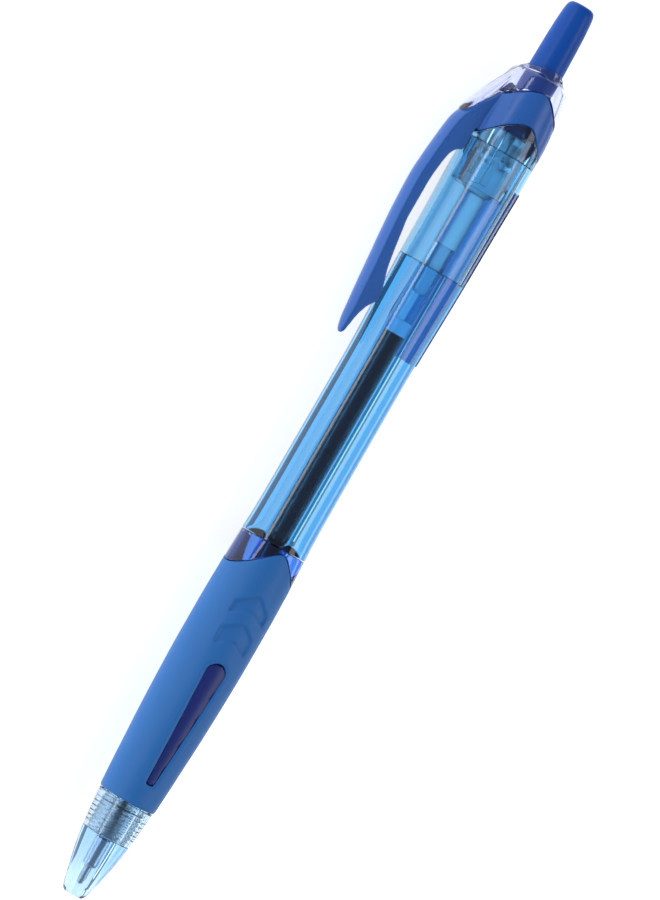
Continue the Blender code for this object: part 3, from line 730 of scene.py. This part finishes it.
def makeBarrel():
    outside = stretch(barrelCurve, barrelTop, barrelFoot, 0.5)
    outside[0], outside[-1] = (*outside[0], 0.1), (*outside[-1], 0.12)
    bore, shoulder = barrel["bore"], barrel["shoulder"]
    inside = [(barrel["mouth"], barrelFoot, 0.1), (2.35, 56.9, 0.3), (bore, 57.9, 0.4)]
    inside += stretch(lambda z: bore, 59.0, shoulder - 1.6, 4.0)
    inside += [(bore, shoulder, 0.06), (barrel["wide"], shoulder, 0.15)]
    inside += stretch(lambda z: barrel["wide"], shoulder + 1.2, barrelTop - 1.0, 2.0)
    inside.append((barrel["wide"], barrelTop, 0.08))
    tube = turned("barrelTube", softened(outside + inside), steps=128)
    finish(tube, tintedPolycarbonate, "body", ["barrel"])


makeBarrel()

label = dict(foot=87.2, top=115.0, start=150.0, end=240.0, lift=0.045, film=0.1, across=60)


def makeLabel():
    start, end, foot, top = label["start"], label["end"], label["foot"], label["top"]
    under = stretch(barrelCurve, foot, top, 0.6, -label["lift"])
    edge = under + [(r + label["film"], z) for r, z in reversed(under)]
    rings = []
    for i in range(label["across"] + 1):
        angle = math.radians(start + (end - start) * i / label["across"])
        rings.append([(r * math.cos(angle), r * math.sin(angle), z) for r, z in edge])
    film = lofted("blankLabel", rings)
    sheet = film.data.uv_layers.new(name="labelMap")
    for loop in film.data.loops:
        place = film.data.vertices[loop.vertex_index].co
        degrees = math.degrees(math.atan2(place.y, place.x)) % 360
        sheet.data[loop.index].uv = (degrees - start) / (end - start), (place.z - foot) / (top - foot)
    finish(film, labelFilm, "body", ["label"])


makeLabel()

# The ring that carries the clip. Its edges drop in a bow on the clip's side and in a V on the far side, and
# the housing and the crown follow them.
ring = dict(
    shell=[(118.78, 5.43), (121.0, 5.46), (123.0, 5.38), (125.0, 5.17), (126.2, 5.02), (127.6, 4.85),
           (129.2, 4.58), (129.9, 4.4), (130.4, 4.05), (130.8, 3.6), (131.3, 3.15), (132.2, 3.0)],
    foot=123.6, footBow=0.142, footRadius=5.45, top=128.5, topBow=0.108, topRadius=5.2, vSlope=0.92)
shellCurve = fair(ring["shell"])


def ringFoot(x):
    return ring["foot"] - (ring["footBow"] * x * x if x > 0 else saddle(x, ring["vSlope"]))


def ringTop(x):
    return ring["top"] - (ring["topBow"] * x * x if x > 0 else saddle(x, ring["vSlope"]))


# The cam housing, with ribs and grooves inside.
housing = dict(
    foot=112.6, top=125.5, collarFoot=118.78, collar=5.43, spigot=4.22, neck=4.4, grooves=4, ribHalf=15.0,
    ribEdge=1.5, ribFoot=113.3, ribTop=122.0, groove=3.5, bore=2.95, slant=1.1, steps=192)


def makeHousing():
    top, neck, foot, collarFoot = housing["top"], housing["neck"], housing["foot"], housing["collarFoot"]
    spigot, groove, bore, ribTop = housing["spigot"], housing["groove"], housing["bore"], housing["ribTop"]

    def section(angle):
        collarTop = ringFoot(ring["footRadius"] * math.cos(angle)) - 0.1
        share = (math.degrees(angle) / 360 * housing["grooves"] + 0.5) % 1.0
        fromRib = (180 - abs(share - 0.5) * 360) / housing["grooves"]
        edge = housing["ribEdge"]
        rib = 1 - smoothStep(housing["ribHalf"] - edge, housing["ribHalf"] + edge, fromRib)
        low = housing["ribFoot"] + housing["slant"] * share
        radius = groove + (bore - groove) * rib
        return softened([
            (neck, top, 0.08), (neck, collarTop), (shellCurve(collarTop), collarTop, 0.1),
            (shellCurve(120.0), collarFoot + 0.3), (housing["collar"], collarFoot, 0.08),
            (barrel["wide"], collarFoot), (spigot, collarFoot - 0.1), (spigot, foot, 0.12),
            (groove, foot, 0.1), (groove, low - 0.15), (radius, low), (radius, ribTop - 0.1), (bore, ribTop),
            (bore, top, 0.08)])

    insert = turned("camHousing", section, steps=housing["steps"], sharp=35)
    finish(insert, paleBluePolycarbonate, "body", ["cam_housing"])


makeHousing()

# The clip and its ring, one moulding; on the real pen the arm bends where it leaves the ring.
clip = dict(
    ringSteps=160, levels=18, bore=4.47, thinnest=0.55, slices=150, crownMost=0.45, voxel=0.11, smooth=9,
    inner=[(86.05, 7.42), (86.4, 7.26), (87.4, 7.18), (88.8, 7.05), (90.8, 6.5), (91.6, 6.0), (92.3, 5.55),
           (93.1, 5.4), (94.0, 5.6), (95.4, 6.1), (97.1, 6.62), (99.9, 7.15), (102.6, 7.55), (104.5, 7.82),
           (110.2, 7.82), (113.0, 7.56), (114.9, 7.2), (116.0, 6.5), (116.5, 5.64), (119.9, 5.64),
           (120.2, 4.6), (126.2, 4.6)],
    outer=[(86.05, 7.66), (86.4, 7.86), (87.4, 8.1), (88.8, 8.32), (90.8, 8.5), (93.1, 8.72), (97.1, 9.06),
           (99.9, 9.34), (102.6, 9.57), (104.5, 9.72), (110.2, 9.92), (113.0, 9.74), (114.9, 9.56),
           (119.4, 8.98), (120.8, 8.5), (121.4, 8.15), (122.6, 7.4), (123.9, 6.52), (125.1, 5.6),
           (126.2, 4.66)],
    width=[(86.05, 0.7), (86.4, 1.5), (87.4, 2.3), (88.8, 2.8), (90.8, 3.2), (93.1, 3.4), (97.1, 3.6),
           (126.2, 3.6)],
    bendFrom=(5.5, 0.0, 121.0), bendTo=(9.0, 0.0, 115.0))


def makeClip():
    def section(angle):
        foot = ringFoot(ring["footRadius"] * math.cos(angle))
        top = ringTop(ring["topRadius"] * math.cos(angle))
        heights = [top + (foot - top) * i / clip["levels"] for i in range(clip["levels"] + 1)]
        inside = [(min(clip["bore"], shellCurve(z) - clip["thinnest"]), z) for z in reversed(heights)]
        return [(shellCurve(z), z) for z in heights] + inside

    moulding = turned("clipMoulding", section, steps=clip["ringSteps"])
    innerCurve, outerCurve, widthCurve = (fair(clip[key]) for key in ("inner", "outer", "width"))
    rings = []
    low, high = clip["inner"][0][0], clip["inner"][-1][0]
    for i in range(clip["slices"] + 1):
        z = low + (high - low) * i / clip["slices"]
        near, far, half = innerCurve(z), outerCurve(z), widthCurve(z) / 2
        crowned = min(clip["crownMost"], (far - near) * 0.3)
        back = [(far - crowned * (y / 4) ** 2, half * y / 4, z) for y in range(-4, 5)]
        rings.append(back + [(near, half, z), (near, -half, z)])
    join(moulding, lofted("clipArm", rings), "UNION")
    remesh = moulding.modifiers.new("Voxels", "REMESH")
    remesh.voxel_size = clip["voxel"]
    relax = moulding.modifiers.new("Relax", "SMOOTH")
    relax.iterations = clip["smooth"]
    settle(moulding)
    bend = ("clip", penToWorld @ Vector(clip["bendFrom"]), penToWorld @ Vector(clip["bendTo"]))
    finish(shade(moulding, 60), royalBlueAcetal, "body", ["clip_ring", "clip_arm"], bend)


makeClip()

# The crown over the ring, with its fin towards the clip.
crown = dict(
    fin=[(120.8, 8.42), (121.3, 8.35), (122.4, 8.05), (123.9, 7.4), (125.8, 6.45), (127.4, 5.65),
         (128.75, 4.85), (129.7, 4.45), (130.8, 3.6), (131.3, 3.15), (132.2, 3.0)],
    finSpread=16.5, finPower=8, rim=131.3, rimRise=0.8, wall=0.65, bore=2.74, seam=0.15, levels=26,
    steps=180)


def makeCrown():
    finCurve = fair(crown["fin"])

    def radius(angle, z):
        degrees = math.degrees(math.atan2(math.sin(angle), math.cos(angle)))
        share = 1 / (1 + (abs(degrees) / crown["finSpread"]) ** crown["finPower"])
        return shellCurve(z) + (finCurve(z) - shellCurve(z)) * share

    def foot(angle, inset):  # where the wall meets the clip's sloping top, found by halving the error
        overRing = ringTop(ring["topRadius"] * math.cos(angle))
        z = overRing
        for _ in range(12):
            r = radius(angle, z) - inset
            target = ringTop(r * math.cos(angle))
            z += 0.5 * (max(target, overRing) - z if r < 5.7 else target - z)
        return z + crown["seam"]

    def section(angle):
        rim = crown["rim"] + crown["rimRise"] * math.sin(angle) ** 2
        levels, bore, wall = crown["levels"], crown["bore"], crown["wall"]
        low, innerLow = foot(angle, 0.0), foot(angle, wall)
        high, innerHigh = rim - 0.15, rim - 1.0
        outside = [high + (low - high) * i / levels for i in range(levels + 1)]
        inside = [innerLow + (innerHigh - innerLow) * i / levels for i in range(levels + 1)]
        points = [(3.0, rim, 0.08)] + [(max(radius(angle, z), 3.1), z) for z in outside]
        points += [(max(radius(angle, z) - wall, bore + 0.05), z) for z in inside]
        return softened(points + [(bore, rim - 0.9, 0.1), (bore, rim, 0.08)])

    cap = turned("clearCrown", section, steps=crown["steps"], sharp=45)
    finish(cap, violetPolycarbonate, "body", ["crown"])


makeCrown()

# The button.
button = dict(outline=[(0.0, penLength), (1.5, penLength, 0.5), (1.95, 141.9, 0.3), (2.17, 141.3, 0.3),
                       (2.27, 140.4, 0.6), (2.4, 138.8, 0.8), (2.5, 136.2, 1.0), (2.56, 133.5), (2.6, 131.5),
                       (2.6, 121.6, 0.1), (1.6, 121.6), (1.6, 129.8), (0.0, 129.8)])


def makeButton():
    cap = turned("pushButton", softened(button["outline"], arc=6), steps=112, sharp=35)
    finish(cap, royalBlueAbs, "button", ["push_button"])


makeButton()

# The plunger that the button pushes and the rotor that latches the refill, both with saw teeth and four lugs.
plunger = dict(
    name="camPlunger", body="button", node="cam_plunger", edge=117.6, teeth=8.0, toothDepth=0.7,
    lugSize=(0.9, 1.1, 2.6), lugCentre=(2.93, 0.0, 120.1), lugTurn=0.0,
    outline=[(1.5, 129.5, 0.1), (1.5, 121.45), (2.78, 121.45, 0.15), (2.78, 117.6), (1.95, 117.6),
             (1.95, 120.5), (0.6, 120.5), (0.6, 129.5)])
rotor = dict(
    name="camRotor", body="rotor", node="cam_rotor", edge=116.4, teeth=8.0, toothDepth=0.6,
    lugSize=(0.98, 0.8, 3.7), lugCentre=(2.89, 0.0, 115.35), lugTurn=math.radians(-18),
    outline=[(0.0, 119.9), (1.72, 119.9, 0.2), (1.72, 116.4), (2.7, 116.4), (2.7, 112.8, 0.15),
             (1.65, 112.2, 0.1), (1.65, 103.7, 0.1), (1.1, 103.7), (1.1, 96.7, 0.35), (0.75, 96.1, 0.3),
             (0.0, 96.1)])


def makeCam(cam):
    piece = turned(cam["name"], softened(cam["outline"]))
    teeth = dict(Edge=cam["edge"], Count=cam["teeth"], Depth=cam["toothDepth"])
    lugs = dict(Count=4, Size=cam["lugSize"], Centre=cam["lugCentre"], Turn=cam["lugTurn"])
    runTree(piece, teethTree, teeth, naturalAcetal)
    runTree(piece, spokesTree, lugs, naturalAcetal)
    finish(shade(piece, 35), naturalAcetal, cam["body"], [cam["node"]])


makeCam(plunger)
makeCam(rotor)

# The refill: the ink wets the tube's wall, and the grease on top of it has a hollow face.
refill = dict(
    tube=1.6, tubeBore=1.2, foot=25.05, top=103.6, ink=1.205, inkTop=89.7, greaseTop=91.9, hollow=0.5,
    inkFoot=[(1.205, 30.15), (0.38, 30.15), (0.38, 12.4), (0.0, 12.4)],
    holder=[(1.15, 30.0, 0.15), (1.15, 24.95), (1.9, 24.95, 0.15), (1.9, 23.6, 0.2), (1.35, 23.2),
            (1.35, 9.15, 0.15), (0.8, 9.15), (0.8, 12.2), (0.45, 12.3), (0.45, 30.0)])


def dish(height, hollow):  # half of a hollow liquid face, from the axis to the tube's wall
    return [(refill["ink"] * k / 8, height - hollow * (1 - (k / 8) ** 2)) for k in range(9)]


def makeRefill():
    tube, bore, foot, top = refill["tube"], refill["tubeBore"], refill["foot"], refill["top"]
    wall = turned("refillTube", softened([
        (tube, top, 0.1), (tube, foot, 0.1), (bore, foot), (bore, top, 0.1)]), steps=80)
    finish(wall, extrudedPolypropylene, "refill", ["refill_tube"])
    inkFace = dish(refill["inkTop"], refill["hollow"])
    column = turned("gelInk", inkFace + refill["inkFoot"], steps=64)
    finish(column, gelInk, "refill", ["ink"])
    greaseFace = dish(refill["greaseTop"], 0.3 * refill["hollow"])
    plug = turned("followerGrease", greaseFace + [(r, z + 0.02) for r, z in reversed(inkFace)], steps=64)
    finish(plug, followerGrease, "refill", ["ink_follower"])
    holder = turned("tipHolder", softened(refill["holder"]), steps=72)
    finish(holder, naturalAcetal, "refill", ["tip_holder"])


makeRefill()

# The tip and its ball.
tip = dict(
    ball=0.35, ballAt=2.04, ballArcs=24,
    outline=[(0.75, 12.0), (0.75, 9.1), (1.1, 9.0, 0.08), (1.1, 5.1, 0.15), (0.95, 4.75, 0.1),
             (0.62, 4.55, 0.08), (0.6, 2.7, 0.3), (0.42, 1.85, 0.03), (0.385, 1.85), (0.385, 4.25),
             (0.22, 4.35), (0.22, 12.0)])


def makeTip():
    shank = turned("writingTip", softened(tip["outline"]), steps=72, sharp=30)
    finish(shank, turnedStainless, "refill", ["writing_tip"])
    radius, middle, arcs = tip["ball"], tip["ballAt"], tip["ballArcs"]
    angles = [math.pi * k / arcs for k in range(1, arcs)]
    side = [(radius * math.sin(a), middle + radius * math.cos(a)) for a in angles]
    ball = turned("tipBall", [(0.0, middle + radius), *side, (0.0, middle - radius)], steps=48)
    finish(ball, lappedCarbide, "ball", ["tip_ball"])


makeTip()

# The spring behind the ball, and the return spring, made at one length; on the real pen it shortens as the
# refill comes forward.
springs = dict(
    fine=dict(Turns=7.0, Radius=0.24, Wire=0.045, Foot=2.44, Top=4.2),
    main=dict(Turns=11.0, Radius=1.72, Wire=0.17, Foot=9.35, Top=23.15), pressed=0.565)


def makeSprings():
    fine = runTree(addMesh("ballSpring", [], []), coilTree, springs["fine"], drawnSpringWire)
    finish(shade(fine, 60), drawnSpringWire, "refill", ["ball_spring"])
    main = runTree(addMesh("returnSpring", [], []), coilTree, springs["main"], drawnSpringWire)
    finish(shade(main, 60), drawnSpringWire, "spring", ["return_spring"])
    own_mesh(main)


makeSprings()
print("pieces made")

# The table, the light and the camera.
stage = dict(size=3.0, floor="#EDEDED", glow=0.8, world="#B4BECE", worldStrength=0.5)


def makeStage():
    material, tree = blankMaterial("matteWhiteTable")
    where = addNode(tree, "ShaderNodeTexCoord")
    grain = addNode(tree, "ShaderNodeTexNoise", {"Vector": (where, "Object"), "Scale": 900.0})
    rough = addNode(tree, "ShaderNodeMapRange", {"Value": grain, "To Min": 0.7, "To Max": 0.85})
    shader = addNode(tree, "ShaderNodeBsdfPrincipled", {
        "Base Color": linear(stage["floor"]), "Roughness": rough, "Emission Color": linear("#FFFFFF"),
        "Emission Strength": stage["glow"]})
    addNode(tree, "ShaderNodeOutputMaterial", {"Surface": shader})
    half = stage["size"] / 2
    corners = [(-half, -half, 0), (half, -half, 0), (half, half, 0), (-half, half, 0)]
    floor = addMesh("table", corners, [(0, 1, 2, 3)])
    floor.location.z = -0.0002
    floor.data.materials.append(material)
    world = bpy.data.worlds.new("studio")
    world.use_nodes = True
    background = world.node_tree.nodes["Background"]
    background.inputs["Color"].default_value = linear(stage["world"])
    background.inputs["Strength"].default_value = stage["worldStrength"]
    bpy.context.scene.world = world


lights = [
    dict(name="stripBox", azimuth=0, elevation=12, distance=0.5, size=(0.9, 0.07), watts=0.8),
    dict(name="topBox", azimuth=180, elevation=68, distance=0.6, size=(0.6, 0.25), watts=1.0),
    dict(name="backBox", azimuth=180, elevation=25, distance=0.7, size=(0.8, 0.15), watts=0.7),
]


def towards(azimuth, elevation):  # azimuth 0 is where a viewer who looks along +Y stands
    a, e = math.radians(azimuth), math.radians(elevation)
    return Vector((math.sin(a) * math.cos(e), -math.cos(a) * math.cos(e), math.sin(e)))


def aim(obj, direction, distance, target, roll=0.0):
    facing = direction.to_track_quat("Z", "Y").to_matrix().to_4x4()
    turn = facing @ Matrix.Rotation(math.radians(roll), 4, "Z")
    obj.matrix_world = Matrix.Translation(target + direction * distance) @ turn
    bpy.context.scene.collection.objects.link(obj)


def makeLights(target):
    for row in lights:
        lamp = bpy.data.lights.new(row["name"], "AREA")
        lamp.shape = "RECTANGLE"
        lamp.size, lamp.size_y = row["size"]
        lamp.energy = row["watts"]
        lampObject = bpy.data.objects.new(row["name"], lamp)
        aim(lampObject, towards(row["azimuth"], row["elevation"]), row["distance"], target)


view = dict(
    azimuth=0, elevation=42.5, roll=119.9, lens=200.0, sensor=36.0, frameHeight=125.0 * mm,
    sideways=0.32 * mm)


def makeCamera(target):
    camera = bpy.data.cameras.new("camera")
    camera.lens, camera.sensor_width = view["lens"], view["sensor"]
    camera.clip_start, camera.clip_end = 0.05, 10.0
    obj = bpy.data.objects.new("camera", camera)
    distance = view["lens"] * view["frameHeight"] / view["sensor"]
    aim(obj, towards(view["azimuth"], view["elevation"]), distance, target, view["roll"])
    obj.location += obj.matrix_world.to_3x3() @ Vector((view["sideways"], 0, 0))
    bpy.context.scene.camera = obj


makeStage()
middle = penToWorld @ Vector((0, 0, penLength / 2))
makeLights(middle)
makeCamera(middle)
scene = bpy.context.scene
scene.view_settings.view_transform = "Standard"
scene.cycles.use_denoising = True
scene.cycles.max_bounces = 32
scene.cycles.transmission_bounces = 24
scene.cycles.transparent_max_bounces = 24
print("stage, lights and camera set")
